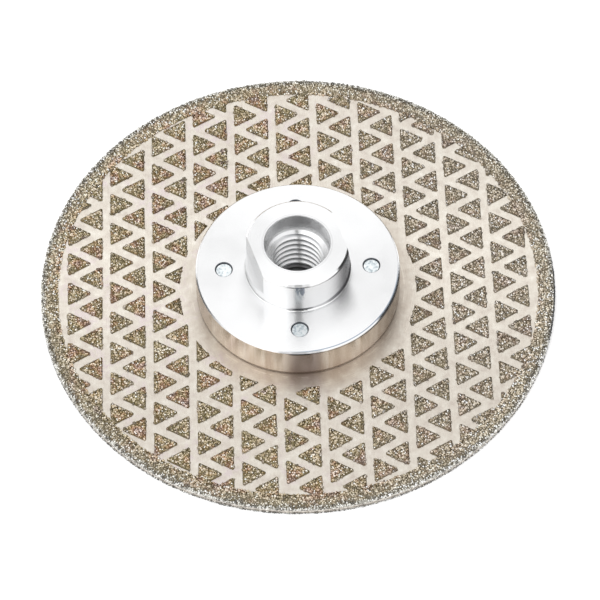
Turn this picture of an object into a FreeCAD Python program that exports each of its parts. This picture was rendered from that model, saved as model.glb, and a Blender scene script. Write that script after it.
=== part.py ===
"""Diamond grinding and cutting disc, 125 mm, with a threaded aluminium hub.

Frame: +Z is the spin axis, from the grinding side up through the hub. The origin lies on that
axis, in the plane of the lower grit faces, so the disc stands on Z = 0. Units are millimetres.
"""

import FreeCAD, Part
import math
import os

Vector = FreeCAD.Vector
UP = Vector(0, 0, 1)
CENTRE = Vector(0, 0, 0)

# Disc
DISC_DIAMETER = 125.0
CORE_THICKNESS = 1.6
GRIT_HEIGHT = 0.4
RIM_BAND_WIDTH = 4.1
GRIT_INNER_RADIUS = 28.8
CORE_BORE_DIAMETER = 22.23

# Triangular grit pattern
COLUMN_PITCH = 10.34
COLUMN_WIDTH = 8.39
ROW_PITCH = 8.68
TRIANGLE_SIDE = 6.7
TRIANGLE_CORNER_RADIUS = 0.35
COLUMNS_EACH_SIDE = 5
SMALLEST_RIM_DEPOSIT = 1.2
SMALLEST_HUB_DEPOSIT = 2.6

# Hub
FLANGE_DIAMETER = 49.4
FLANGE_THICKNESS = 8.8
FLANGE_TOP_CHAMFER = 0.4
FLANGE_FOOT_CHAMFER = 0.2
BOSS_DIAMETER = 25.1
BOSS_HEIGHT = 10.4
BOSS_CHAMFER = 0.5
BOSS_FOOT_ROUNDING = 0.4
EDGE_ROUNDING = 0.2
ACROSS_FLATS = 21.6
FLATS_ANGLE = 17.5
FLATS_LEDGE = 3.0
SPIGOT_CLEARANCE = 0.035
SPIGOT_SETBACK = 0.1
SPIGOT_CHAMFER = 0.3

# Spindle thread M14 x 2 and the counterbore above it
THREAD_MAJOR_DIAMETER = 14.0
THREAD_PITCH = 2.0
COUNTERBORE_DIAMETER = 15.8
COUNTERBORE_DEPTH = 5.2
MOUTH_CHAMFER = 0.15
DRILL_CONE_ANGLE = 31.0
REAR_MOUTH_CHAMFER = 0.9

# Flange screws M4 x 10, countersunk, hexagon socket
SCREW_COUNT = 4
SCREW_CIRCLE_DIAMETER = 35.6
SCREW_DIAMETER = 4.0
SCREW_LENGTH = 10.0
SCREW_HEAD_DIAMETER = 8.0
SCREW_TIP_CHAMFER = 0.15
SCREW_CLEARANCE = 0.05
SOCKET_ACROSS_FLATS = 2.5
SOCKET_DEPTH = 1.6
HOLE_MOUTH_CHAMFER = 0.1

# Worked out from the above
DISC_RADIUS = DISC_DIAMETER / 2
CORE_RADIUS = DISC_RADIUS - GRIT_HEIGHT
CORE_BOTTOM = GRIT_HEIGHT
CORE_TOP = CORE_BOTTOM + CORE_THICKNESS
DISC_TOP = CORE_TOP + GRIT_HEIGHT
RIM_BAND_INNER_RADIUS = DISC_RADIUS - RIM_BAND_WIDTH
HUB_DEPOSIT_REACH = GRIT_INNER_RADIUS + TRIANGLE_SIDE / 2
FLANGE_TOP = CORE_TOP + FLANGE_THICKNESS
BOSS_TOP = FLANGE_TOP + BOSS_HEIGHT
SCREW_RADIUS = SCREW_DIAMETER / 2
SCREW_HEAD_RADIUS = SCREW_HEAD_DIAMETER / 2
SCREW_TIP = CORE_BOTTOM + SCREW_LENGTH
HEAD_CONE_HEIGHT = SCREW_HEAD_RADIUS - SCREW_RADIUS
HOLE_RADIUS = SCREW_RADIUS + SCREW_CLEARANCE
SPIGOT_RADIUS = CORE_BORE_DIAMETER / 2 - SPIGOT_CLEARANCE
SPIGOT_BOTTOM = CORE_BOTTOM + SPIGOT_SETBACK
THREAD_MINOR_RADIUS = (THREAD_MAJOR_DIAMETER - 1.0825 * THREAD_PITCH) / 2
THREAD_MAJOR_RADIUS = THREAD_MAJOR_DIAMETER / 2


def cylinder(radius, bottom, top, place=CENTRE):
    """A vertical cylinder about the given axis point, between two heights."""
    return Part.makeCylinder(radius, top - bottom, place + UP * bottom, UP)


def cone(bottom_radius, top_radius, bottom, top, place=CENTRE):
    """A vertical cone frustum about the given axis point, between two heights."""
    return Part.makeCone(bottom_radius, top_radius, top - bottom, place + UP * bottom, UP)


def softened(outline):
    """The wire round a closed outline of (radius, height, rounding) corners in the XZ plane."""
    edges = []
    starts = []
    ends = []
    count = len(outline)
    for index in range(count):
        radius, height, rounding = outline[index]
        corner = Vector(radius, 0, height)
        before = Vector(outline[index - 1][0], 0, outline[index - 1][1]) - corner
        after = Vector(outline[(index + 1) % count][0], 0, outline[(index + 1) % count][1]) - corner
        before.normalize()
        after.normalize()
        half_angle = before.getAngle(after) / 2
        setback = rounding / math.tan(half_angle)
        ends.append(corner + before * setback)
        starts.append(corner + after * setback)
        if rounding > 0:
            bisector = (before + after).normalize()
            middle = corner + bisector * (rounding / math.sin(half_angle) - rounding)
            edges.append(Part.Arc(ends[-1], middle, starts[-1]).toShape())
    for index in range(count):
        edges.append(Part.LineSegment(starts[index - 1], ends[index]).toShape())
    return Part.Wire(Part.__sortEdges__(edges))


def revolved(outline):
    """The solid swept about the Z axis by a closed outline, whose corners may be rounded."""
    corners = [(corner + (0,))[:3] for corner in outline]
    return Part.Face(softened(corners)).revolve(CENTRE, UP, 360)


def one_solid(shape):
    """The single solid inside a boolean result."""
    clean = shape.removeSplitter()
    if len(clean.Solids) != 1:
        raise ValueError("expected one solid, got %d" % len(clean.Solids))
    return clean.Solids[0]


def screw_places():
    """The axis points of the flange screws, evenly spaced round their circle."""
    places = []
    for index in range(SCREW_COUNT):
        angle = 2 * math.pi * index / SCREW_COUNT
        reach = SCREW_CIRCLE_DIAMETER / 2
        places.append(Vector(reach * math.cos(angle), reach * math.sin(angle), 0))
    return places


def screw_hole(place):
    """The hole that one countersunk screw needs, from under the core to above the flange."""
    head_radius = SCREW_HEAD_RADIUS + SCREW_CLEARANCE
    cone_top = CORE_BOTTOM + HEAD_CONE_HEIGHT
    countersink = cone(head_radius, HOLE_RADIUS, CORE_BOTTOM, cone_top, place)
    shank = cylinder(HOLE_RADIUS, CORE_BOTTOM, FLANGE_TOP, place)
    mouth_radius = HOLE_RADIUS + HOLE_MOUTH_CHAMFER
    mouth = cone(HOLE_RADIUS, mouth_radius, FLANGE_TOP - HOLE_MOUTH_CHAMFER, FLANGE_TOP, place)
    return countersink.fuse([shank, mouth])


def blade_core():
    """The flat steel disc that carries the grit and is screwed under the hub."""
    disc = cylinder(CORE_RADIUS, CORE_BOTTOM, CORE_TOP)
    disc = disc.cut(cylinder(CORE_BORE_DIAMETER / 2, CORE_BOTTOM, CORE_TOP))
    for place in screw_places():
        disc = disc.cut(screw_hole(place))
    return one_solid(disc)


def rim_grit():
    """The plated diamond band that wraps round the disc's edge, top, side and underside."""
    outline = [
        (RIM_BAND_INNER_RADIUS, 0),
        (DISC_RADIUS, 0),
        (DISC_RADIUS, DISC_TOP),
        (RIM_BAND_INNER_RADIUS, DISC_TOP),
        (RIM_BAND_INNER_RADIUS, CORE_TOP),
        (CORE_RADIUS, CORE_TOP),
        (CORE_RADIUS, CORE_BOTTOM),
        (RIM_BAND_INNER_RADIUS, CORE_BOTTOM),
    ]
    return revolved(outline)


def rounded_triangle(flat_x, centre_y, direction):
    """An equilateral triangle face with rounded corners, pointing along +X or -X from its flat side."""
    apothem = TRIANGLE_SIDE / (2 * math.sqrt(3))
    inner_reach = 2 * (apothem - TRIANGLE_CORNER_RADIUS)
    middle = Vector(flat_x + direction * apothem, centre_y, 0)
    towards = 0 if direction > 0 else math.pi
    edges = []
    for index in range(3):
        angle = towards + 2 * math.pi * index / 3
        corner = middle + Vector(math.cos(angle), math.sin(angle), 0) * inner_reach
        circle = Part.Circle(corner, UP, TRIANGLE_CORNER_RADIUS)
        edges.append(Part.ArcOfCircle(circle, angle - math.pi / 3, angle + math.pi / 3).toShape())
    sides = []
    for before, after in zip(edges, edges[1:] + edges[:1]):
        start = before.valueAt(before.LastParameter)
        end = after.valueAt(after.FirstParameter)
        sides.append(Part.LineSegment(start, end).toShape())
    loop = [edge for pair in zip(edges, sides) for edge in pair]
    return Part.Face(Part.Wire(loop))


def large_enough(solid):
    """Whether a clipped deposit is kept: small leftovers are dropped, larger ones by the hub."""
    area = solid.Volume / GRIT_HEIGHT
    middle = solid.CenterOfMass
    by_hub = math.hypot(middle.x, middle.y) < HUB_DEPOSIT_REACH
    return area > (SMALLEST_HUB_DEPOSIT if by_hub else SMALLEST_RIM_DEPOSIT)


def grit_column(column, bottom):
    """One column of triangular deposits, alternately pointing right and left, as separate solids."""
    column_x = column * COLUMN_PITCH
    rows = int(DISC_RADIUS / ROW_PITCH) + 1
    band = Part.makeCylinder(RIM_BAND_INNER_RADIUS, GRIT_HEIGHT, UP * bottom, UP)
    band = band.cut(Part.makeCylinder(GRIT_INNER_RADIUS, GRIT_HEIGHT, UP * bottom, UP))
    deposits = []
    for half_row in range(-2 * rows, 2 * rows + 1):
        direction = 1 if half_row % 2 == 0 else -1
        flat_x = column_x - direction * COLUMN_WIDTH / 2
        face = rounded_triangle(flat_x, half_row * ROW_PITCH / 2, direction)
        face.translate(UP * bottom)
        clipped = face.extrude(UP * GRIT_HEIGHT).common(band)
        deposits += [solid for solid in clipped.Solids if large_enough(solid)]
    return Part.makeCompound(deposits)


def hub_blank():
    """The turned outside of the hub: spigot, flange and boss."""
    spigot_shoulder = SPIGOT_BOTTOM + SPIGOT_CHAMFER
    flange_radius = FLANGE_DIAMETER / 2
    boss_radius = BOSS_DIAMETER / 2
    outline = [
        (0, SPIGOT_BOTTOM),
        (SPIGOT_RADIUS - SPIGOT_CHAMFER, SPIGOT_BOTTOM),
        (SPIGOT_RADIUS, spigot_shoulder),
        (SPIGOT_RADIUS, CORE_TOP),
        (flange_radius - FLANGE_FOOT_CHAMFER, CORE_TOP),
        (flange_radius, CORE_TOP + FLANGE_FOOT_CHAMFER),
        (flange_radius, FLANGE_TOP - FLANGE_TOP_CHAMFER, EDGE_ROUNDING),
        (flange_radius - FLANGE_TOP_CHAMFER, FLANGE_TOP, EDGE_ROUNDING / 2),
        (boss_radius, FLANGE_TOP, BOSS_FOOT_ROUNDING),
        (boss_radius, BOSS_TOP - BOSS_CHAMFER, EDGE_ROUNDING),
        (boss_radius - BOSS_CHAMFER, BOSS_TOP, EDGE_ROUNDING / 2),
        (0, BOSS_TOP),
    ]
    return revolved(outline)


def spanner_flat(angle):
    """The block milled away from one side of the boss, down to the ledge above the flange."""
    depth = BOSS_DIAMETER
    block = Part.makeBox(depth, 2 * depth, BOSS_HEIGHT)
    block.translate(Vector(ACROSS_FLATS / 2, -depth, FLANGE_TOP + FLATS_LEDGE))
    block.rotate(CENTRE, UP, angle)
    return block


def spindle_bore():
    """The drilled and counterbored hole along the axis, at the thread's crest diameter."""
    counterbore_radius = COUNTERBORE_DIAMETER / 2
    counterbore_floor = BOSS_TOP - COUNTERBORE_DEPTH
    cone_depth = (counterbore_radius - THREAD_MINOR_RADIUS) * math.tan(math.radians(DRILL_CONE_ANGLE))
    rear_radius = THREAD_MINOR_RADIUS + REAR_MOUTH_CHAMFER
    outline = [
        (0, SPIGOT_BOTTOM),
        (rear_radius, SPIGOT_BOTTOM),
        (THREAD_MINOR_RADIUS, SPIGOT_BOTTOM + REAR_MOUTH_CHAMFER),
        (THREAD_MINOR_RADIUS, counterbore_floor - cone_depth),
        (counterbore_radius, counterbore_floor, EDGE_ROUNDING),
        (counterbore_radius, BOSS_TOP - MOUTH_CHAMFER, EDGE_ROUNDING / 2),
        (counterbore_radius + MOUTH_CHAMFER, BOSS_TOP),
        (0, BOSS_TOP),
    ]
    return revolved(outline)


def thread_groove():
    """The 60 degree helical groove of the spindle thread, run out past both ends of the wall."""
    root_width = THREAD_PITCH / 8
    crest_gap = THREAD_PITCH * 3 / 4
    overlap = 0.3
    inner_radius = THREAD_MINOR_RADIUS - overlap
    inner_width = crest_gap + 2 * overlap * math.tan(math.radians(30))
    start = SPIGOT_BOTTOM - THREAD_PITCH
    stop = BOSS_TOP - COUNTERBORE_DEPTH
    corners = [
        Vector(inner_radius, 0, start - inner_width / 2),
        Vector(THREAD_MAJOR_RADIUS, 0, start - root_width / 2),
        Vector(THREAD_MAJOR_RADIUS, 0, start + root_width / 2),
        Vector(inner_radius, 0, start + inner_width / 2),
    ]
    profile = Part.makePolygon(corners + corners[:1])
    helix = Part.makeHelix(THREAD_PITCH, stop - start, THREAD_MINOR_RADIUS)
    helix.translate(UP * start)
    groove = Part.Wire(helix).makePipeShell([profile], True, True)
    return Part.Solid(groove)


def hub_flange():
    """The aluminium hub: flange, boss with two spanner flats, screw holes and the spindle thread."""
    hub = hub_blank()
    for angle in (FLATS_ANGLE, FLATS_ANGLE + 180):
        hub = hub.cut(spanner_flat(angle))
    hub = hub.cut(spindle_bore())
    for place in screw_places():
        hub = hub.cut(screw_hole(place))
    hub = hub.cut(thread_groove())
    return one_solid(hub)


def flange_screw(place):
    """One countersunk screw, head flush with the core's underside, tip just below the flange face."""
    cone_top = CORE_BOTTOM + HEAD_CONE_HEIGHT
    tip_radius = SCREW_RADIUS - SCREW_TIP_CHAMFER
    head = cone(SCREW_HEAD_RADIUS, SCREW_RADIUS, CORE_BOTTOM, cone_top, place)
    shank = cylinder(SCREW_RADIUS, cone_top, SCREW_TIP - SCREW_TIP_CHAMFER, place)
    tip = cone(SCREW_RADIUS, tip_radius, SCREW_TIP - SCREW_TIP_CHAMFER, SCREW_TIP, place)
    corner_reach = SOCKET_ACROSS_FLATS / math.sqrt(3)
    corners = []
    for index in range(7):
        angle = math.pi * index / 3
        corners.append(place + Vector(math.cos(angle), math.sin(angle), 0) * corner_reach + UP * CORE_BOTTOM)
    socket = Part.Face(Part.makePolygon(corners)).extrude(UP * SOCKET_DEPTH)
    return one_solid(head.fuse([shank, tip]).cut(socket))


def all_nodes():
    """Every piece of the disc, by node name."""
    nodes = {"blade_core": blade_core(), "rim_grit": rim_grit(), "hub_flange": hub_flange()}
    for number, place in enumerate(screw_places(), start=1):
        nodes["flange_screw_%d" % number] = flange_screw(place)
    columns = range(-COLUMNS_EACH_SIDE, COLUMNS_EACH_SIDE + 1)
    for number, column in enumerate(columns, start=1):
        nodes["top_grit_column_%02d" % number] = grit_column(column, CORE_TOP)
        nodes["bottom_grit_column_%02d" % number] = grit_column(column, 0)
    return nodes


def main():
    os.makedirs("parts", exist_ok=True)
    for name, shape in all_nodes().items():
        if not shape.isValid():
            raise ValueError("%s is not a valid shape" % name)
        shape.exportStep("parts/%s.step" % name)
        print(name, len(shape.Solids), "solids", round(shape.Volume, 1), "mm3")


main()
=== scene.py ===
"""Looks of the 125 mm diamond grinding disc: diamond grit, plated core, turned hub, screws, studio.

Everything is in metres in the row's frame: +Z is the spin axis, and the disc lies on Z = 0.
"""

import math

import bpy
import numpy as np
from mathutils import Matrix, Vector


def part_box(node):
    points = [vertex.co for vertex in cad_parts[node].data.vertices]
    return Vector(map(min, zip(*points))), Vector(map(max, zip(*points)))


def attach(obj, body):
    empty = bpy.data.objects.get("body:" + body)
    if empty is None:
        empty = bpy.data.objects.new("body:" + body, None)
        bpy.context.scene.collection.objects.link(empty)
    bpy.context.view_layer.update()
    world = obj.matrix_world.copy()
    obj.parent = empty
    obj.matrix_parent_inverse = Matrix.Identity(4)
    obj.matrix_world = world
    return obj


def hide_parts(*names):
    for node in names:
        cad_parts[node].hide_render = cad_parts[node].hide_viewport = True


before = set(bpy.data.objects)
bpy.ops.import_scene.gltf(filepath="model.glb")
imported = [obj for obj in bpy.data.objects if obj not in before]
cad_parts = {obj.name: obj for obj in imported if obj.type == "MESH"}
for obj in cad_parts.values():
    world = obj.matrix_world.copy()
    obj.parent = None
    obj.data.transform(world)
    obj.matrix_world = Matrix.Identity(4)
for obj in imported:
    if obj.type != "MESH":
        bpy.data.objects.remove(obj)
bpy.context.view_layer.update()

MM = 0.001
BODY = "root"

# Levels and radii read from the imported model
CORE_LOW, CORE_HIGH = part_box("blade_core")
RIM_LOW, RIM_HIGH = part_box("rim_grit")
CORE_BOTTOM, CORE_TOP = CORE_LOW.z, CORE_HIGH.z
DISC_BOTTOM, DISC_TOP = RIM_LOW.z, RIM_HIGH.z
DISC_RADIUS = RIM_HIGH.x
CORE_RADIUS = CORE_HIGH.x

# Diamond grit
BOND_HEIGHT = 0.19 * MM
BOND_RIM_SETBACK = 0.24 * MM
GRAIN_SPACING = 0.54 * MM
ROW_STEP = 0.87                 # distance between rows, in grain spacings
GRAIN_JITTER = 0.34             # in grain spacings, either way
GRAIN_RADIUS = 0.34 * MM
GRAIN_SIZES = (0.72, 1.18)      # times the grain radius
GRAIN_STRETCH = (0.72, 1.22)    # on each of its axes
CORNER_SPREAD = 0.11            # of each corner, in grain radii
OCTAHEDRON_REACH = 1.12         # its corners from its middle, in grain radii
BLOCK_REACH = 0.66              # its sides from its middle, in grain radii
BLOCKY_SHARE = 0.45
GRAIN_SEAT = 0.17 * MM
SEAT_SPREAD = 0.05              # in millimetres, either way
EDGE_MARGIN = 0.06 * MM
# Grains this close to a deposit's edge get painted shade
SHADED_EDGE = 0.30 * MM
RIM_BAND_WIDTH = 4.1 * MM
RIM_BAND_MARGIN = 0.12 * MM
RIM_EDGE_MARGIN = 0.28 * MM
EDGE_ROW_LEVELS = (0.16, 1.68, 1.95, 2.18)    # in millimetres
EDGE_ROW_RADIUS = DISC_RADIUS - 0.27 * MM
RING_SEGMENTS = 360
WELD_STEPS = 1e7                # to the metre, on the grid that corners are welded on
SAME_LEVEL = 1e-6               # in metres
GRAIN_SLOT = 1
SHADED_GRAIN_SLOT = 2
FIRST_COLUMN_SEED = 11
RIM_SEEDS = (71, 72, 73)

# Hub levels and radii where its finish, its painted shade and its painted reflections change
BOSS_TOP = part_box("hub_flange")[1].z
FLANGE_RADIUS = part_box("hub_flange")[1].x
FLANGE_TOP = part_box("flange_screw_1")[1].z + 0.4 * MM
FLANGE_CORNER = 24.4 * MM
BOSS_CORNER = 12.3 * MM
SCREW_GAP = 2.12 * MM
OPENING_DEPTH = 2.6 * MM
CENTRE_SHADE_X = 1.2 * MM

# Lengthwise direction of the rim's two ends that get painted light
PAINTED_LIGHT_X, PAINTED_LIGHT_Y = 0.866, -0.5

# Camera, placed from the middle of the disc's upper grit plane
CAMERA_FOCUS = 221.6
CAMERA_SENSOR = 36.0
CAMERA_DISTANCE = 897.3 * MM
CAMERA_ELEVATION = math.radians(56.67)
CAMERA_ROLL = math.radians(-0.88)
CAMERA_TWIST = math.radians(-0.93)
CAMERA_SIDE = 0.50 * MM
CAMERA_RISE = -3.27 * MM

# Floor
FLOOR_SIDES = 96
FLOOR_REACH = 3.0
FLOOR_GAP = 0.02 * MM
FLOOR_GLOW = 0.55

# The white tent. Each patch is its middle azimuth, reach either side, lowest and highest
# elevation, softness, all in degrees, and its level against the tent's own brightness
TENT_BRIGHTNESS = 1.17
TENT_PATCHES = [
    (-150, 34, 38, 72, 12, 1.34),
    (102, 26, 40, 84, 14, 1.05),
    (-90, 6, 36, 76, 3, 0.16),
    (-90, 17, -30, 28, 6, 0.03),
    (38, 22, 40, 60, 11, 0.22),
    (20, 28, -30, 22, 8, 0.04),
    (180, 26, -30, 14, 8, 0.12),
    (128, 12, 44, 70, 7, 0.62),
    (90, 50, -30, 26, 14, 0.65),
]


# ---------------------------------------------------------------- camera and studio

def make_camera():
    """A long lens looking down at the disc from the front."""
    forward = Vector((0, math.cos(CAMERA_ELEVATION), -math.sin(CAMERA_ELEVATION)))
    level_right = Vector((1, 0, 0))
    level_up = level_right.cross(forward)
    right = math.cos(CAMERA_ROLL) * level_right + math.sin(CAMERA_ROLL) * level_up
    up = right.cross(forward)
    place = -forward * CAMERA_DISTANCE + CAMERA_SIDE * right + CAMERA_RISE * up
    matrix = Matrix((right, up, -forward)).transposed().to_4x4()
    matrix.translation = place
    data = bpy.data.cameras.new("camera")
    data.lens = CAMERA_FOCUS
    data.sensor_width = CAMERA_SENSOR
    data.clip_start = 0.01
    data.clip_end = 20
    camera = bpy.data.objects.new("camera", data)
    lift = Matrix.Translation((0, 0, DISC_TOP))
    camera.matrix_world = lift @ Matrix.Rotation(CAMERA_TWIST, 4, "Z") @ matrix
    bpy.context.scene.collection.objects.link(camera)
    bpy.context.scene.camera = camera


def maths(tree, operation, first, second=None):
    """A math node's result. Each operand is a number or another node's output."""
    made = tree.nodes.new("ShaderNodeMath")
    made.operation = operation
    for index, operand in enumerate((first, second)):
        if operand is None:
            continue
        if isinstance(operand, (int, float)):
            made.inputs[index].default_value = operand
        else:
            tree.links.new(operand, made.inputs[index])
    return made.outputs[0]


def product(tree, *factors):
    """The factors multiplied together. Each is a number or another node's output."""
    result = factors[0]
    for factor in factors[1:]:
        result = maths(tree, "MULTIPLY", result, factor)
    return result


def off_centre(tree, value, middle):
    """How far a value is from a middle one, either way."""
    return maths(tree, "ABSOLUTE", maths(tree, "SUBTRACT", value, middle))


def axes(tree, vector):
    """A vector's X, Y and Z parts."""
    split = tree.nodes.new("ShaderNodeSeparateXYZ")
    tree.links.new(vector, split.inputs[0])
    return split.outputs["X"], split.outputs["Y"], split.outputs["Z"]


def ramp(tree, factor, stops):
    """A colour ramp's colour. Each stop is a position and an RGB colour or a grey."""
    made = tree.nodes.new("ShaderNodeValToRGB")
    elements = made.color_ramp.elements
    while len(elements) < len(stops):
        elements.new(1.0)
    for element, (position, colour) in zip(elements, stops):
        element.position = position
        rgb = (colour,) * 3 if isinstance(colour, (int, float)) else colour
        element.color = (*rgb, 1.0)
    tree.links.new(factor, made.inputs[0])
    return made.outputs[0]


def fade(tree, value, start, stop):
    """0 up to one value and 1 from another, with a smooth rise between."""
    made = tree.nodes.new("ShaderNodeMapRange")
    made.interpolation_type = "SMOOTHSTEP"
    made.inputs["From Min"].default_value = start
    made.inputs["From Max"].default_value = stop
    tree.links.new(value, made.inputs["Value"])
    return made.outputs[0]


def patch_level(tree, azimuth, elevation, middle, reach, low, high, soft, level):
    """A soft-edged patch of the tent: level inside it and 1 outside. All angles are in degrees."""
    turn = maths(tree, "SUBTRACT", azimuth, math.radians(middle))
    turn = maths(tree, "WRAP", turn, -math.pi)
    turn.node.inputs[1].default_value = math.pi
    turn.node.inputs[2].default_value = -math.pi
    aside = maths(tree, "ABSOLUTE", turn)
    across = fade(tree, aside, math.radians(reach + soft), math.radians(reach))
    above = fade(tree, elevation, math.radians(low - soft), math.radians(low))
    below = fade(tree, elevation, math.radians(high + soft), math.radians(high))
    inside = product(tree, across, above, below, 1.0 - level)
    return maths(tree, "SUBTRACT", 1.0, inside)


def make_world():
    """A white tent, open for the lens and the person behind it, with dim gaps low on both sides."""
    world = bpy.data.worlds.new("studio")
    world.use_nodes = True
    tree = world.node_tree
    direction = tree.nodes.new("ShaderNodeTexCoord").outputs["Generated"]
    x, y, z = axes(tree, direction)
    azimuth = maths(tree, "ARCTAN2", y, x)
    elevation = maths(tree, "ARCSINE", z)
    levels = [patch_level(tree, azimuth, elevation, *patch) for patch in TENT_PATCHES]
    background = tree.nodes["Background"]
    background.inputs["Color"].default_value = (1, 1, 1, 1)
    tree.links.new(product(tree, *levels, TENT_BRIGHTNESS), background.inputs["Strength"])
    bpy.context.scene.world = world


def make_floor():
    """A round white table top, lit from beneath except under the disc."""
    mesh = bpy.data.meshes.new("studio_floor")
    turns = [2 * math.pi * step / FLOOR_SIDES for step in range(FLOOR_SIDES)]
    corners = [(FLOOR_REACH * math.cos(turn), FLOOR_REACH * math.sin(turn), 0) for turn in turns]
    mesh.from_pydata(corners, [], [tuple(range(FLOOR_SIDES))])
    floor = bpy.data.objects.new("studio_floor", mesh)
    floor.location.z = DISC_BOTTOM - FLOOR_GAP
    material, tree, shader = new_shader("studio_white", (0.8, 0.8, 0.8), 0.9, 0.0)
    shader.inputs["Emission Color"].default_value = (1, 1, 1, 1)
    radius = distance_from_axis(tree, object_point(tree))
    lit = fade(tree, radius, DISC_RADIUS - 3 * MM, DISC_RADIUS + 1 * MM)
    tree.links.new(maths(tree, "MULTIPLY", lit, FLOOR_GLOW), shader.inputs["Emission Strength"])
    mesh.materials.append(material)
    bpy.context.scene.collection.objects.link(floor)


# ---------------------------------------------------------------- materials

def new_shader(name, colour, roughness, metallic=1.0):
    """A material with its shader set up, ready for texture nodes."""
    material = bpy.data.materials.new(name)
    material.use_nodes = True
    tree = material.node_tree
    shader = tree.nodes["Principled BSDF"]
    shader.inputs["Base Color"].default_value = (*colour, 1)
    shader.inputs["Roughness"].default_value = roughness
    shader.inputs["Metallic"].default_value = metallic
    return material, tree, shader


def object_point(tree):
    """The object's own coordinates, in metres."""
    return tree.nodes.new("ShaderNodeTexCoord").outputs["Object"]


def noise(tree, vector, scale, detail=3.0, roughness=0.5):
    """A noise texture's grey, at so many features a metre."""
    made = tree.nodes.new("ShaderNodeTexNoise")
    made.inputs["Scale"].default_value = scale
    made.inputs["Detail"].default_value = detail
    made.inputs["Roughness"].default_value = roughness
    tree.links.new(vector, made.inputs["Vector"])
    return made.outputs["Fac"]


def stretched(tree, vector, scale):
    """A coordinate scaled by a different amount on each axis."""
    made = tree.nodes.new("ShaderNodeMapping")
    made.inputs["Scale"].default_value = scale
    tree.links.new(vector, made.inputs["Vector"])
    return made.outputs[0]


def bump(tree, shader, height, distance):
    """Wire a height into the shader's normal."""
    made = tree.nodes.new("ShaderNodeBump")
    made.inputs["Strength"].default_value = 1.0
    made.inputs["Distance"].default_value = distance
    tree.links.new(height, made.inputs["Height"])
    tree.links.new(made.outputs[0], shader.inputs["Normal"])


def plan_length(tree, x, y):
    """The length of a vector from its two parts."""
    across = maths(tree, "MULTIPLY", x, x)
    along = maths(tree, "MULTIPLY", y, y)
    return maths(tree, "SQRT", maths(tree, "ADD", across, along))


def distance_from_axis(tree, point):
    """How far a point lies from the spin axis, in metres."""
    x, y, _ = axes(tree, point)
    return plan_length(tree, x, y)


def turning_rings(tree, point, per_metre):
    """Uneven concentric tool marks, as a grey that depends on the distance from the axis and height."""
    travel = maths(tree, "ADD", distance_from_axis(tree, point), axes(tree, point)[2])
    rings = tree.nodes.new("ShaderNodeTexNoise")
    rings.noise_dimensions = "1D"
    rings.inputs["Scale"].default_value = 1.0
    rings.inputs["Detail"].default_value = 2.0
    tree.links.new(maths(tree, "MULTIPLY", travel, per_metre), rings.inputs["W"])
    return rings.outputs["Fac"]


def radial_tangent(tree, shader):
    """Point the shader's anisotropy round the spin axis."""
    tangent = tree.nodes.new("ShaderNodeTangent")
    tangent.direction_type = "RADIAL"
    tangent.axis = "Z"
    tree.links.new(tangent.outputs[0], shader.inputs["Tangent"])


def painted_corner_reflection(tree, point, level, inner, swell, middle, thick):
    """A painted dark reflection line by a turned corner, strong towards -Y, fainter but wider on +X.

    It is painted at one level and just outside one radius. Swell is how much wider it gets on +X,
    and middle is where its strong part is centred.
    """
    x, y, z = axes(tree, point)
    radius = distance_from_axis(tree, point)
    right = fade(tree, x, inner * 0.3, inner * 0.9)
    widening = maths(tree, "ADD", maths(tree, "MULTIPLY", right, swell), 1.0)
    height = maths(tree, "DIVIDE", off_centre(tree, z, level), widening)
    strong = fade(tree, off_centre(tree, x, middle), 3.6 * MM, 1.6 * MM)
    far_right = fade(tree, x, inner * 0.3, inner * 0.8)
    near_right = maths(tree, "MULTIPLY", fade(tree, x, 0.0, 5 * MM), 0.4)
    strength = maths(tree, "MAXIMUM", strong, maths(tree, "MAXIMUM", far_right, near_right))
    return product(
        tree,
        fade(tree, height, thick, thick / 2),
        fade(tree, radius, inner - 0.05 * MM, inner),
        fade(tree, radius, inner + 0.45 * MM, inner + 0.35 * MM),
        fade(tree, y, 2 * MM, 0.0),
        maths(tree, "MULTIPLY", strength, 0.9),
    )


def painted_recess_shade_mask(tree, point):
    """Where dark shade is painted: in the gaps round the screws and in the thread's grooves."""
    x, y, z = axes(tree, point)
    radius = distance_from_axis(tree, point)
    recess_shade = product(
        tree,
        fade(tree, radius, 6.2 * MM, 6.9 * MM),
        fade(tree, radius, 7.3 * MM, 7.2 * MM),
        fade(tree, z, 15.2 * MM, 14.6 * MM),
        0.8,
    )
    for name in sorted(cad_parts):
        if not name.startswith("flange_screw"):
            continue
        low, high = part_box(name)
        across = maths(tree, "SUBTRACT", x, (low.x + high.x) / 2)
        along = maths(tree, "SUBTRACT", y, (low.y + high.y) / 2)
        gap = fade(tree, plan_length(tree, across, along), SCREW_GAP + 0.1 * MM, SCREW_GAP)
        recess_shade = maths(tree, "MAXIMUM", recess_shade, gap)
    return recess_shade


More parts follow.
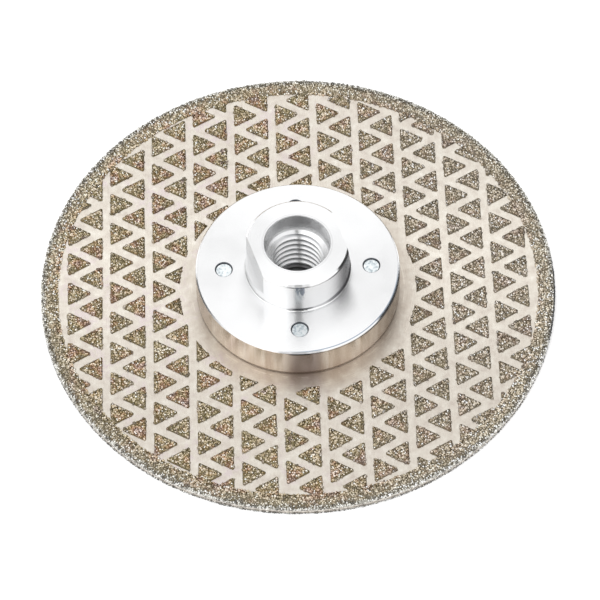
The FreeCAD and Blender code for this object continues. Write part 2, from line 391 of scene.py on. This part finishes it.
def flange_side_painted_reflections(tree, point, shade):
    """Painted warm reflections on the flange side, darker at front and sides; painted shade along its foot.
    """
    x, y, z = axes(tree, point)
    radius = distance_from_axis(tree, point)
    side = fade(tree, radius, FLANGE_RADIUS - 0.1 * MM, FLANGE_RADIUS - 0.03 * MM)
    # Painted warm reflections, streaked down the flange's side.
    reflected_streaks = ramp(tree, noise(tree, stretched(tree, point, (1, 1, 0.06)), 420, 3, 0.6), [
        (0.36, (0.62, 0.51, 0.41)),
        (0.50, (0.80, 0.70, 0.60)),
        (0.64, (0.96, 0.90, 0.82)),
    ])
    # A painted dark reflection at the middle of the front.
    painted_dark_centre = product(
        tree,
        fade(tree, off_centre(tree, x, CENTRE_SHADE_X), 6 * MM, 2 * MM),
        fade(tree, y, 0.0, -2 * MM),
        0.8,
    )
    reflected_streaks = blend(tree, painted_dark_centre, reflected_streaks, (0.28, 0.22, 0.21))
    # Painted darker reflection towards both sides.
    side_reflection = fade(tree, maths(tree, "ABSOLUTE", x), 13 * MM, 23 * MM)
    reflected_streaks = blend(tree, maths(tree, "MULTIPLY", side_reflection, 0.6), reflected_streaks, (0.40, 0.32, 0.25))
    shade = blend(tree, maths(tree, "MULTIPLY", side, 0.85), shade, reflected_streaks)
    # Painted shade along the foot, where the flange meets the core.
    foot = product(tree, side, fade(tree, z, CORE_TOP + 0.75 * MM, CORE_TOP + 0.3 * MM), 0.75)
    return blend(tree, foot, shade, (0.16, 0.11, 0.08))


def boss_painted_reflections(tree, point, shade):
    """Painted reflections: a blue-grey streak at the boss's front and a dim part on its +X side."""
    x, y, z = axes(tree, point)
    radius = distance_from_axis(tree, point)
    boss = product(
        tree,
        fade(tree, radius, BOSS_CORNER - 0.1 * MM, BOSS_CORNER),
        fade(tree, radius, BOSS_CORNER + 0.6 * MM, BOSS_CORNER + 0.5 * MM),
        fade(tree, y, 2 * MM, 0.0),
        fade(tree, z, BOSS_TOP - 0.4 * MM, BOSS_TOP - 0.6 * MM),
    )
    # Painted blue-grey reflection streak at the boss's front.
    streak = product(
        tree,
        fade(tree, off_centre(tree, x, 0.3 * MM), 1.3 * MM, 0.9 * MM),
        fade(tree, z, BOSS_TOP - 6 * MM, BOSS_TOP - 3.5 * MM),
        fade(tree, noise(tree, stretched(tree, point, (1, 1, 0.3)), 1100, 3, 0.6), 0.40, 0.54),
        boss,
        0.75,
    )
    shade = blend(tree, streak, shade, (0.16, 0.20, 0.27))
    # Painted dark reflection on the boss's +X side.
    dim = product(tree, fade(tree, x, 6 * MM, BOSS_CORNER), boss, 0.75)
    return blend(tree, dim, shade, (0.18, 0.17, 0.18))


def ring_paint(tree, point, shade):
    """A painted cool reflection ring near the flange's edge, strong on +X, and a grey ring round the
    counterbore.
    """
    x, y, _ = axes(tree, point)
    radius = distance_from_axis(tree, point)
    # Painted cool reflection ring near the flange's edge.
    flange_ring_reflection = product(
        tree,
        fade(tree, radius, 24.0 * MM, 24.12 * MM),
        fade(tree, radius, 24.34 * MM, 24.3 * MM),
        fade(tree, x, -6 * MM, 4 * MM),
        fade(tree, y, 2 * MM, -6 * MM),
        0.9,
    )
    shade = blend(tree, flange_ring_reflection, shade, (0.30, 0.36, 0.44))
    mouth_ring = product(
        tree,
        fade(tree, radius, 8.28 * MM, 8.34 * MM),
        fade(tree, radius, 8.5 * MM, 8.44 * MM),
        0.35,
    )
    return blend(tree, mouth_ring, shade, (0.5, 0.5, 0.5))


def turned_roughness(tree, point, recess_shade):
    """Sharper on broken edges, duller at the counterbore's mouth, in the bore and where recess shade is
    painted.
    """
    radius = distance_from_axis(tree, point)
    facing = tree.nodes.new("ShaderNodeNewGeometry").outputs["Normal"]
    tilt = maths(tree, "ABSOLUTE", axes(tree, facing)[2])
    broken = product(tree, fade(tree, tilt, 0.04, 0.10), fade(tree, tilt, 0.995, 0.98))
    smudge = ramp(tree, noise(tree, point, 160, 4), [(0.3, 0.20), (0.7, 0.25)])
    rough = blend(tree, broken, smudge, (0.1, 0.1, 0.1))
    mouth = product(tree, broken, fade(tree, radius, 8.6 * MM, 8.4 * MM))
    rough = blend(tree, mouth, rough, (0.6, 0.6, 0.6))
    rough = blend(tree, fade(tree, radius, 7.7 * MM, 7.5 * MM), rough, (0.27, 0.27, 0.27))
    return blend(tree, recess_shade, rough, (0.38, 0.38, 0.38))


def turned_aluminium():
    """Bright fine-turned aluminium: tool marks, painted shade in the recesses and low in the bore, and
    painted dark reflections by its corners and on the boss, and warm ones on the flange's side."""
    material, tree, shader = new_shader("turned_aluminium", (0.93, 0.935, 0.94), 0.2)
    point = object_point(tree)
    rings = turning_rings(tree, point, 9000)
    shade = ramp(tree, rings, [(0.3, (0.83, 0.835, 0.845)), (0.7, (0.90, 0.90, 0.90))])
    # Painted reflections and painted foot shade on the flange's side.
    shade = flange_side_painted_reflections(tree, point, shade)
    # Painted dark reflections by the boss's and the flange's corners.
    for level, inner, swell, middle, thick in (
        (BOSS_TOP - 0.68 * MM, BOSS_CORNER, 1.0, 0.0, 0.2 * MM),
        (FLANGE_TOP + 0.65 * MM, BOSS_CORNER, 1.8, 0.9 * MM, 0.4 * MM),
        (FLANGE_TOP - 0.6 * MM, FLANGE_CORNER, 0.3, 0.0, 0.32 * MM),
    ):
        line = painted_corner_reflection(tree, point, level, inner, swell, middle, thick)
        shade = blend(tree, line, shade, (0.05, 0.055, 0.065))
    # Painted reflections on the boss.
    shade = boss_painted_reflections(tree, point, shade)
    # Painted cool reflection ring by the flange's edge, and a grey ring round the counterbore.
    shade = ring_paint(tree, point, shade)
    # Painted shade in the screw gaps and the thread's grooves.
    recess_shade = painted_recess_shade_mask(tree, point)
    shade = blend(tree, recess_shade, shade, (0.20, 0.21, 0.23))
    # Painted shade at the lower end of the bore.
    opening_shade = product(
        tree,
        fade(tree, distance_from_axis(tree, point), 7.5 * MM, 7.4 * MM),
        fade(tree, axes(tree, point)[2], OPENING_DEPTH + 0.3 * MM, OPENING_DEPTH),
        0.9,
    )
    shade = blend(tree, opening_shade, shade, (0.05, 0.048, 0.05))
    tree.links.new(shade, shader.inputs["Base Color"])
    tree.links.new(turned_roughness(tree, point, recess_shade), shader.inputs["Roughness"])
    shader.inputs["Anisotropic"].default_value = 0.95
    shader.inputs["Anisotropic Rotation"].default_value = 0.25
    radial_tangent(tree, shader)
    bump(tree, shader, rings, 0.0015 * MM)
    return material


def nickel_plate():
    """Warm satin nickel on flat steel: mottled, brushed, lilac cast, with painted shade front and rear and
    painted brown shade by the hub.
    """
    material, tree, shader = new_shader("nickel_plate", (0.80, 0.74, 0.66), 0.38)
    point = object_point(tree)
    x, y, _ = axes(tree, point)
    tint = ramp(tree, noise(tree, point, 420, 6, 0.68), [
        (0.27, (0.66, 0.59, 0.52)),
        (0.43, (0.79, 0.725, 0.64)),
        (0.56, (0.85, 0.795, 0.705)),
        (0.70, (0.95, 0.905, 0.82)),
    ])
    lilac = product(
        tree,
        fade(tree, noise(tree, point, 130, 3, 0.6), 0.48, 0.62),
        fade(tree, x, 0.03, -0.02),
        fade(tree, noise(tree, point, 700, 3, 0.7), 0.4, 0.6),
        0.7,
    )
    tint = blend(tree, lilac, tint, (0.80, 0.69, 0.70))
    # Painted shade towards the front and the rear of the disc.
    front = maths(tree, "MULTIPLY", fade(tree, y, 0.01, -0.035), 0.19)
    rear = maths(tree, "MULTIPLY", fade(tree, y, 0.01, 0.04), 0.10)
    tint = blend(tree, maths(tree, "ADD", front, rear), tint, (0.2, 0.17, 0.15))
    wander = maths(tree, "MULTIPLY", maths(tree, "SUBTRACT", noise(tree, point, 150, 4), 0.5), 8 * MM)
    radius = maths(tree, "ADD", distance_from_axis(tree, point), wander)
    # Painted grey shadow streak on the core below the flange's front.
    painted_dark_centre = product(
        tree,
        fade(tree, off_centre(tree, x, CENTRE_SHADE_X), 8 * MM, 1 * MM),
        fade(tree, y, 0.0, -2 * MM),
        0.4,
    )
    left_clear = maths(tree, "ADD", maths(tree, "MULTIPLY", fade(tree, x, -22 * MM, -8 * MM), 0.6), 0.4)
    # Painted brown shade and reflection of the flange near the hub, weaker on the left.
    near = product(
        tree,
        fade(tree, radius, 31.5 * MM, 24.4 * MM),
        maths(tree, "ADD", painted_dark_centre, 0.42),
        left_clear,
    )
    tint = blend(tree, near, tint, (0.34, 0.26, 0.20))
    swirls = product(
        tree,
        fade(tree, turning_rings(tree, point, 5200), 0.55, 0.72),
        fade(tree, noise(tree, point, 350, 3), 0.48, 0.60),
        fade(tree, radius, 33 * MM, 26 * MM),
        0.6,
    )
    tint = blend(tree, swirls, tint, (1.0, 0.95, 0.84))
    tree.links.new(tint, shader.inputs["Base Color"])
    grain = noise(tree, stretched(tree, point, (1, 0.12, 1)), 5200, 3, 0.6)
    tree.links.new(ramp(tree, grain, [(0.3, 0.30), (0.7, 0.45)]), shader.inputs["Roughness"])
    bump(tree, shader, grain, 0.004 * MM)
    return material


def zinc_plate():
    """Bluish bright zinc on the screws."""
    material, tree, shader = new_shader("zinc_plate", (0.74, 0.82, 0.87), 0.3)
    point = object_point(tree)
    spangle = noise(tree, point, 1500, 3)
    tint = ramp(tree, spangle, [
        (0.34, (0.50, 0.57, 0.61)),
        (0.46, (0.78, 0.84, 0.86)),
        (0.6, (0.93, 0.96, 0.97)),
    ])
    tree.links.new(tint, shader.inputs["Base Color"])
    tree.links.new(ramp(tree, spangle, [(0.3, 0.42), (0.7, 0.28)]), shader.inputs["Roughness"])
    bump(tree, shader, spangle, 0.006 * MM)
    return material


def blend(tree, factor, first, second, blend_type="MIX"):
    """A mix of two colours. Each of the three is a value or another node's output."""
    made = tree.nodes.new("ShaderNodeMix")
    made.data_type = "RGBA"
    made.blend_type = blend_type
    for socket, value in ((0, factor), (6, first), (7, second)):
        if isinstance(value, bpy.types.NodeSocket):
            tree.links.new(value, made.inputs[socket])
        elif isinstance(value, tuple):
            made.inputs[socket].default_value = (*value, 1.0)
        else:
            made.inputs[socket].default_value = value
    return made.outputs[2]


def stained(tree, point, colour, strength=1.0):
    """A grit colour shifted over a few millimetres to rust, pink and olive, most of all on -X."""
    x = axes(tree, point)[0]
    leftward = maths(tree, "MINIMUM", maths(tree, "ADD", fade(tree, x, 0.045, -0.03), 0.35), 1.0)
    inward = fade(tree, distance_from_axis(tree, point), DISC_RADIUS - 2 * MM, DISC_RADIUS - 5 * MM)
    rim_share = maths(tree, "ADD", maths(tree, "MULTIPLY", inward, 0.6), 0.4)
    amount = product(tree, leftward, strength, rim_share)
    hue = ramp(tree, noise(tree, point, 260, 3, 0.6), [
        (0.30, (1.02, 0.90, 0.97)),
        (0.38, (1.00, 0.97, 0.56)),
        (0.46, (1.06, 1.01, 0.76)),
        (0.53, (1.08, 0.93, 0.52)),
        (0.60, (1.18, 0.80, 0.54)),
        (0.70, (1.04, 0.82, 0.88)),
    ])
    plain = blend(tree, fade(tree, x, 0.0, 0.03), (1.13, 1.09, 1.11), (1.09, 1.10, 1.15))
    plain = blend(tree, inward, (1.04, 1.06, 1.04), plain)
    tint = blend(tree, amount, plain, hue)
    return blend(tree, 1.0, colour, tint, "MULTIPLY")


def edge_band():
    """Plain plated band round the edge, between painted shadow seams, with a painted black reflection on
    +X.
    """
    material, tree, shader = new_shader("edge_band", (0.80, 0.74, 0.66), 0.35)
    point = object_point(tree)
    x, _, z = axes(tree, point)
    patches = noise(tree, point, 900, 4, 0.6)
    tint = ramp(tree, patches, [
        (0.32, (0.38, 0.34, 0.30)),
        (0.50, (0.84, 0.78, 0.71)),
        (0.68, (0.97, 0.93, 0.87)),
    ])
    waver = maths(tree, "MULTIPLY", maths(tree, "SUBTRACT", patches, 0.5), 0.9 * MM)
    height = maths(tree, "ADD", z, waver)
    # Painted shadows under the top grains' overhang and along the bottom edge.
    upper_seam_shadow = fade(tree, height, 1.28 * MM, 1.42 * MM)
    lower_seam_shadow = fade(tree, height, 0.42 * MM, 0.3 * MM)
    # Painted black reflection on the +X side.
    painted_black_reflection = fade(tree, x, 0.055, 0.0605)
    dark = maths(tree, "MAXIMUM", maths(tree, "MAXIMUM", upper_seam_shadow, lower_seam_shadow), painted_black_reflection)
    tree.links.new(blend(tree, dark, tint, (0.02, 0.02, 0.022)), shader.inputs["Base Color"])
    bump(tree, shader, patches, 0.03 * MM)
    return material


def nickel_bond():
    """The nickel between the grains, painted dark brown-grey for the shade in the gaps."""
    material, tree, shader = new_shader("nickel_bond", (0.16, 0.14, 0.10), 0.5, 0.7)
    point = object_point(tree)
    nodules = noise(tree, point, 6500, 3, 0.65)
    # Painted shade: the bond's dark tones stand for the shade between the grains.
    tint = ramp(tree, nodules, [(0.3, (0.085, 0.07, 0.05)), (0.7, (0.30, 0.255, 0.185))])
    tree.links.new(stained(tree, point, tint), shader.inputs["Base Color"])
    bump(tree, shader, nodules, 0.05 * MM)
    return material


def diamond_grain(name, level):
    """Coarse diamond: brown to cream on the faces, grey to white at the disc's edge, some nickel-capped."""
    material, tree, shader = new_shader(name, (0.4, 0.35, 0.22), 0.2, 0.0)
    point = object_point(tree)
    island = tree.nodes.new("ShaderNodeNewGeometry").outputs["Random Per Island"]
    inner = ramp(tree, island, [
        (0.00, (0.16, 0.13, 0.095)),
        (0.14, (0.26, 0.213, 0.155)),
        (0.34, (0.42, 0.35, 0.26)),
        (0.56, (0.61, 0.525, 0.41)),
        (0.76, (0.81, 0.725, 0.61)),
        (0.90, (0.92, 0.865, 0.79)),
        (1.00, (0.98, 0.96, 0.92)),
    ])
    outer = ramp(tree, island, [
        (0.00, (0.07, 0.063, 0.05)),
        (0.18, (0.20, 0.18, 0.145)),
        (0.36, (0.45, 0.435, 0.375)),
        (0.60, (0.78, 0.765, 0.70)),
        (1.00, (1.00, 0.99, 0.96)),
    ])
    x, y, z = axes(tree, point)
    radius = distance_from_axis(tree, point)
    uneven = maths(tree, "MULTIPLY", maths(tree, "SUBTRACT", noise(tree, point, 300, 2), 0.5), 2.4 * MM)
    edge = fade(tree, maths(tree, "ADD", radius, uneven), DISC_RADIUS - 1.7 * MM, DISC_RADIUS - 0.5 * MM)
    pale = ramp(tree, island, [(0.3, 1.0), (0.7, 0.5), (0.95, 0.15)])
    colour = blend(tree, edge, stained(tree, point, inner, pale), outer)
    # Painted light: the rim band's grit lighter towards its two ends.
    lengthwise = maths(tree, "ADD", maths(tree, "MULTIPLY", x, PAINTED_LIGHT_X), maths(tree, "MULTIPLY", y, PAINTED_LIGHT_Y))
    painted_light_ends = product(
        tree,
        fade(tree, maths(tree, "ABSOLUTE", lengthwise), 32 * MM, 60 * MM),
        fade(tree, radius, 57 * MM, 59 * MM),
    )
    colour = blend(tree, painted_light_ends, colour, (1.20, 1.20, 1.21), "MULTIPLY")
    # Painted shade along the disc's bottom corner.
    low = product(
        tree,
        fade(tree, z, 0.45 * MM, 0.2 * MM),
        fade(tree, radius, DISC_RADIUS - 0.8 * MM, DISC_RADIUS - 0.55 * MM),
        0.8,
    )
    colour = blend(tree, low, colour, (0.03, 0.03, 0.035))
    # Painted black reflection on the +X edge.
    painted_black_reflection = product(
        tree,
        fade(tree, x, 0.0590, 0.0608),
        fade(tree, y, 0.012, 0.002),
        fade(tree, radius, DISC_RADIUS - 0.5 * MM, DISC_RADIUS - 0.28 * MM),
    )
    colour = blend(tree, painted_black_reflection, colour, (0.015, 0.015, 0.018))
    # level darkens the whole colour: below 1 it makes a painted-shade copy for grains by deposit edges.
    colour = blend(tree, 1.0, colour, (level, level, level), "MULTIPLY")
    tree.links.new(colour, shader.inputs["Base Color"])
    capped = maths(tree, "ADD", island, maths(tree, "MULTIPLY", edge, 0.4))
    tree.links.new(ramp(tree, capped, [(0.80, 0.0), (0.86, 0.95)]), shader.inputs["Metallic"])
    shuffled = maths(tree, "FRACT", maths(tree, "MULTIPLY", island, 37.0))
    tree.links.new(ramp(tree, shuffled, [(0.0, 0.10), (1.0, 0.34)]), shader.inputs["Roughness"])
    shader.inputs["IOR"].default_value = 2.0
    return material


# ---------------------------------------------------------------- grit geometry

def crystal(kind):
    """A unit crystal's corners and triangles: a cut octahedron or a block."""
    if kind == "octahedron":
        corners = [(1, 0, 0), (-1, 0, 0), (0, 1, 0), (0, -1, 0), (0, 0, 1), (0, 0, -1)]
        faces = [(4, 0, 2), (4, 2, 1), (4, 1, 3), (4, 3, 0), (5, 2, 0), (5, 1, 2), (5, 3, 1), (5, 0, 3)]
        return np.array(corners, float) * OCTAHEDRON_REACH, np.array(faces)
    corners = [(x, y, z) for x in (-1, 1) for y in (-1, 1) for z in (-1, 1)]
    quads = [(0, 1, 3, 2), (4, 6, 7, 5), (0, 4, 5, 1), (2, 3, 7, 6), (0, 2, 6, 4), (1, 5, 7, 3)]
    faces = [triangle for a, b, c, d in quads for triangle in ((a, b, c), (a, c, d))]
    return np.array(corners, float) * BLOCK_REACH, np.array(faces)


def random_turns(rng, count):
    """So many random rotation matrices."""
    q = rng.normal(size=(count, 4))
    w, x, y, z = (q / np.linalg.norm(q, axis=1, keepdims=True)).T
    rows = [
        [1 - 2 * (y * y + z * z), 2 * (x * y - z * w), 2 * (x * z + y * w)],
        [2 * (x * y + z * w), 1 - 2 * (x * x + z * z), 2 * (y * z - x * w)],
        [2 * (x * z - y * w), 2 * (y * z + x * w), 1 - 2 * (x * x + y * y)],
    ]
    return np.array(rows).transpose(2, 0, 1)


def grains(rng, centres):
    """Corners and triangles of one faceted grain at each centre, and each triangle's own grain."""
    all_corners, all_faces, owners, base = [], [], [], 0
    blocky = rng.random(len(centres)) < BLOCKY_SHARE
    for kind, chosen in (("block", blocky), ("octahedron", ~blocky)):
        corners, faces = crystal(kind)
        places = centres[chosen]
        count = len(places)
        if not count:
            continue
        shapes = corners[None] * rng.uniform(*GRAIN_STRETCH, (count, 1, 3))
        shapes = shapes + rng.normal(0, CORNER_SPREAD, shapes.shape)
        shapes = np.einsum("nij,nvj->nvi", random_turns(rng, count), shapes)
        shapes = shapes * (GRAIN_RADIUS * rng.uniform(*GRAIN_SIZES, (count, 1, 1)))
        all_corners.append((shapes + places[:, None]).reshape(-1, 3))
        offsets = base + np.arange(count)[:, None, None] * len(corners)
        all_faces.append((faces[None] + offsets).reshape(-1, 3))
        owners.append(np.repeat(np.flatnonzero(chosen), len(faces)))
        base += count * len(corners)
    return np.concatenate(all_corners), np.concatenate(all_faces), np.concatenate(owners)


def keep_inside(corners):
    """Wear the grains' tips down to the disc's own faces and outer radius, in place."""
    corners[:, 2] = np.clip(corners[:, 2], DISC_BOTTOM, DISC_TOP)
    radius = np.hypot(corners[:, 0], corners[:, 1])
    shrink = np.minimum(1.0, DISC_RADIUS / np.maximum(radius, 1e-9))
    corners[:, :2] *= shrink[:, None]


def build_mesh(name, corners, faces, material_index, materials):
    """A flat-shaded triangle mesh object from arrays."""
    mesh = bpy.data.meshes.new(name)
    mesh.vertices.add(len(corners))
    mesh.vertices.foreach_set("co", corners.astype(np.float32).ravel())
    mesh.loops.add(len(faces) * 3)
    mesh.loops.foreach_set("vertex_index", faces.astype(np.int32).ravel())
    mesh.polygons.add(len(faces))
    mesh.polygons.foreach_set("loop_start", np.arange(0, len(faces) * 3, 3, dtype=np.int32))
    mesh.polygons.foreach_set("material_index", material_index.astype(np.int32))
    for material in materials:
        mesh.materials.append(material)
    mesh.update(calc_edges=True)
    mesh.validate()
    piece = bpy.data.objects.new(name, mesh)
    bpy.context.scene.collection.objects.link(piece)
    return piece


def cad_mesh(name):
    """A CAD node's corners and triangles, with shared corners welded."""
    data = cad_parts[name].data
    corners = np.zeros(len(data.vertices) * 3, np.float32)
    data.vertices.foreach_get("co", corners)
    data.calc_loop_triangles()
    faces = np.zeros(len(data.loop_triangles) * 3, np.int32)
    data.loop_triangles.foreach_get("vertices", faces)
    corners = corners.reshape(-1, 3).astype(float)
    keys = np.round(corners * WELD_STEPS).astype(np.int64)
    _, first, back = np.unique(keys, axis=0, return_index=True, return_inverse=True)
    faces = back.reshape(-1)[faces.reshape(-1, 3)]
    distinct = (faces != np.roll(faces, 1, axis=1)).all(axis=1)
    return corners[first], faces[distinct]


def outline_edges(corners, faces, level):
    """The outline of the flat faces that lie at one level, as pairs of plan points."""
    flat = faces[(np.abs(corners[faces][:, :, 2] - level) < SAME_LEVEL).all(axis=1)]
    edges = np.sort(np.concatenate([flat[:, [0, 1]], flat[:, [1, 2]], flat[:, [2, 0]]]), axis=1)
    single, uses = np.unique(edges, axis=0, return_counts=True)
    return corners[single[uses == 1]][:, :, :2]


def jittered_grid(rng, low, high, spacing):
    """A staggered grid of plan points over a rectangle, each moved a little at random."""
    xs = np.arange(low[0], high[0], spacing)
    ys = np.arange(low[1], high[1], spacing * ROW_STEP)
    grid_x, grid_y = np.meshgrid(xs, ys)
    grid_x = grid_x + (np.arange(len(ys)) % 2)[:, None] * spacing / 2
    points = np.stack([grid_x.ravel(), grid_y.ravel()], 1)
    return points + rng.uniform(-GRAIN_JITTER, GRAIN_JITTER, points.shape) * spacing


def depth_inside(points, edges):
    """How far each point lies inside an outline, or below nought if outside."""
    start, end = edges[:, 0], edges[:, 1]
    px, py = points[:, :1], points[:, 1:]
    spans = (start[None, :, 1] > py) != (end[None, :, 1] > py)
    rise = end[:, 1] - start[:, 1]
    rise = np.where(np.abs(rise) < 1e-12, 1e-12, rise)
    cross_x = start[:, 0] + (py - start[:, 1]) * (end[:, 0] - start[:, 0]) / rise
    inside = (spans & (px < cross_x)).sum(axis=1) % 2 == 1
    along = end - start
    share = ((px - start[:, 0]) * along[:, 0] + (py - start[:, 1]) * along[:, 1]) / (along ** 2).sum(1)
    share = np.clip(share, 0, 1)
    gap = np.hypot(start[:, 0] + share * along[:, 0] - px, start[:, 1] + share * along[:, 1] - py)
    return np.where(inside, gap.min(axis=1), -1.0)


def finish_grit(name, grit, bond, materials):
    """Join a bond layer and its grains into one piece that stands for a CAD node.

    Grit is the grains' corners, triangles and material slots, and bond is the layer's corners and
    triangles, in the first material.
    """
    corners, faces, slots = grit
    bond_corners, bond_faces = bond
    index = np.concatenate([np.zeros(len(bond_faces), int), np.broadcast_to(slots, len(faces))])
    all_corners = np.concatenate([bond_corners, corners])
    all_faces = np.concatenate([bond_faces, faces + len(bond_corners)])
    piece = build_mesh(name, all_corners, all_faces, index, materials)
    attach(piece, BODY)
    return piece


def grit_column(node_name, seed, materials):
    """One column of triangular deposits: a low bond layer with diamond grains seated in it."""
    rng = np.random.RandomState(seed)
    corners, faces = cad_mesh(node_name)
    upper = corners[:, 2].mean() > (CORE_BOTTOM + CORE_TOP) / 2
    plated, outer = (CORE_TOP, DISC_TOP) if upper else (CORE_BOTTOM, DISC_BOTTOM)
    way = 1.0 if upper else -1.0
    edges = outline_edges(corners, faces, outer)
    points = jittered_grid(rng, corners[:, :2].min(0), corners[:, :2].max(0), GRAIN_SPACING)
    depth = depth_inside(points, edges)
    points, depth = points[depth > EDGE_MARGIN], depth[depth > EDGE_MARGIN]
    seat = GRAIN_SEAT + rng.uniform(-SEAT_SPREAD, SEAT_SPREAD, len(points)) * MM
    centres = np.column_stack([points, plated + way * seat])
    grain_corners, grain_faces, owners = grains(rng, centres)
    # Grains by a deposit's edge get the darker, painted-shade copy of the grain material.
    shaded = np.where((depth < SHADED_EDGE)[owners], SHADED_GRAIN_SLOT, GRAIN_SLOT)
    keep_inside(grain_corners)
    bond_corners = corners.copy()
    bond_corners[np.abs(corners[:, 2] - outer) < SAME_LEVEL, 2] = plated + way * BOND_HEIGHT
    grit = (grain_corners, grain_faces, shaded)
    piece = finish_grit("grit_" + node_name, grit, (bond_corners, faces), materials)
    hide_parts(node_name)


def ring_bond(profile):
    """Corners and triangles of a closed ring swept from a (radius, height) profile."""
    turns = np.arange(RING_SEGMENTS) * 2 * math.pi / RING_SEGMENTS
    outline = np.array(profile)
    corners = np.stack([
        np.cos(turns)[:, None] * outline[None, :, 0],
        np.sin(turns)[:, None] * outline[None, :, 0],
        np.broadcast_to(outline[None, :, 1], (RING_SEGMENTS, len(outline))),
    ], axis=2).reshape(-1, 3)
    count = len(outline)
    faces = []
    for turn in range(RING_SEGMENTS):
        here, there = turn * count, (turn + 1) % RING_SEGMENTS * count
        for step in range(count):
            after = (step + 1) % count
            faces.append((here + step, there + step, there + after))
            faces.append((here + step, there + after, here + after))
    return corners, np.array(faces)


def polar_points(rng, inner, outer):
    """Jittered plan points over a ring, about one grain apart."""
    points = []
    for radius in np.arange(inner, outer, GRAIN_SPACING * ROW_STEP):
        count = int(2 * math.pi * radius / GRAIN_SPACING)
        turns = (np.arange(count) + rng.random()) * 2 * math.pi / count
        turns = turns + rng.uniform(-GRAIN_JITTER, GRAIN_JITTER, count) * GRAIN_SPACING / radius
        reach = radius + rng.uniform(-GRAIN_JITTER, GRAIN_JITTER, count) * GRAIN_SPACING
        points.append(np.column_stack([reach * np.cos(turns), reach * np.sin(turns)]))
    return np.concatenate(points)


def rim_face(name, upper, seed, materials):
    """The rim band's grit on the upper or lower face."""
    rng = np.random.RandomState(seed)
    plated, way = (CORE_TOP, 1.0) if upper else (CORE_BOTTOM, -1.0)
    inner = DISC_RADIUS - RIM_BAND_WIDTH
    points = polar_points(rng, inner + RIM_BAND_MARGIN, DISC_RADIUS - RIM_EDGE_MARGIN)
    seat = GRAIN_SEAT + rng.uniform(-SEAT_SPREAD, SEAT_SPREAD, len(points)) * MM
    centres = np.column_stack([points, plated + way * seat])
    corners, faces, _ = grains(rng, centres)
    keep_inside(corners)
    surface = plated + way * BOND_HEIGHT
    outer = DISC_RADIUS - BOND_RIM_SETBACK
    profile = [(inner, plated), (CORE_RADIUS, plated), (outer, plated), (outer, surface), (inner, surface)]
    if upper:
        profile = profile[::-1]
    piece = finish_grit(name, (corners, faces, GRAIN_SLOT), ring_bond(profile), materials)
    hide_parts("rim_grit")


def rim_edge(name, seed, materials):
    """The rim band's grit round the disc's outer edge."""
    rng = np.random.RandomState(seed)
    count = int(2 * math.pi * EDGE_ROW_RADIUS / GRAIN_SPACING)
    centres = []
    for height in np.array(EDGE_ROW_LEVELS) * MM:
        turns = (np.arange(count) + rng.random()) * 2 * math.pi / count
        turns = turns + rng.uniform(-GRAIN_JITTER, GRAIN_JITTER, count) * GRAIN_SPACING / EDGE_ROW_RADIUS
        reach = EDGE_ROW_RADIUS + rng.uniform(-0.09, 0.05, count) * MM
        level = height + rng.uniform(-0.1, 0.1, count) * MM
        centres.append(np.column_stack([reach * np.cos(turns), reach * np.sin(turns), level]))
    corners, faces, _ = grains(rng, np.concatenate(centres))
    keep_inside(corners)
    outer = DISC_RADIUS - BOND_RIM_SETBACK
    profile = [(CORE_RADIUS, CORE_TOP), (CORE_RADIUS, CORE_BOTTOM), (outer, CORE_BOTTOM), (outer, CORE_TOP)]
    piece = finish_grit(name, (corners, faces, GRAIN_SLOT), ring_bond(profile), materials)
    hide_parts("rim_grit")


# ---------------------------------------------------------------- the disc

def dress(node_name, material):
    """Give a CAD node its finish and smooth shading."""
    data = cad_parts[node_name].data
    data.materials.clear()
    data.materials.append(material)
    data.polygons.foreach_set("use_smooth", np.ones(len(data.polygons), bool))


def make_disc():
    """Finish the CAD metal and put real grains in place of the CAD grit."""
    nickel = nickel_plate()
    grit_materials = [
        nickel_bond(),
        diamond_grain("diamond_grain", 1.0),
        # A darker copy of the grain material: painted shade for grains by the deposits' edges.
        diamond_grain("diamond_shaded_edge_grain", 0.6),
    ]
    dress("blade_core", nickel)
    dress("hub_flange", turned_aluminium())
    zinc = zinc_plate()
    for name in sorted(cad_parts):
        if name.startswith("flange_screw"):
            dress(name, zinc)
    columns = sorted(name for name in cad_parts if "grit_column" in name)
    for seed, name in enumerate(columns, start=FIRST_COLUMN_SEED):
        grit_column(name, seed, grit_materials)
    top_seed, bottom_seed, edge_seed = RIM_SEEDS
    rim_face("grit_rim_top", True, top_seed, grit_materials)
    rim_face("grit_rim_bottom", False, bottom_seed, grit_materials)
    rim_edge("grit_rim_edge", edge_seed, [edge_band(), grit_materials[GRAIN_SLOT]])


make_camera()
make_world()
make_floor()
make_disc()
bpy.context.scene.view_settings.view_transform = "Standard"
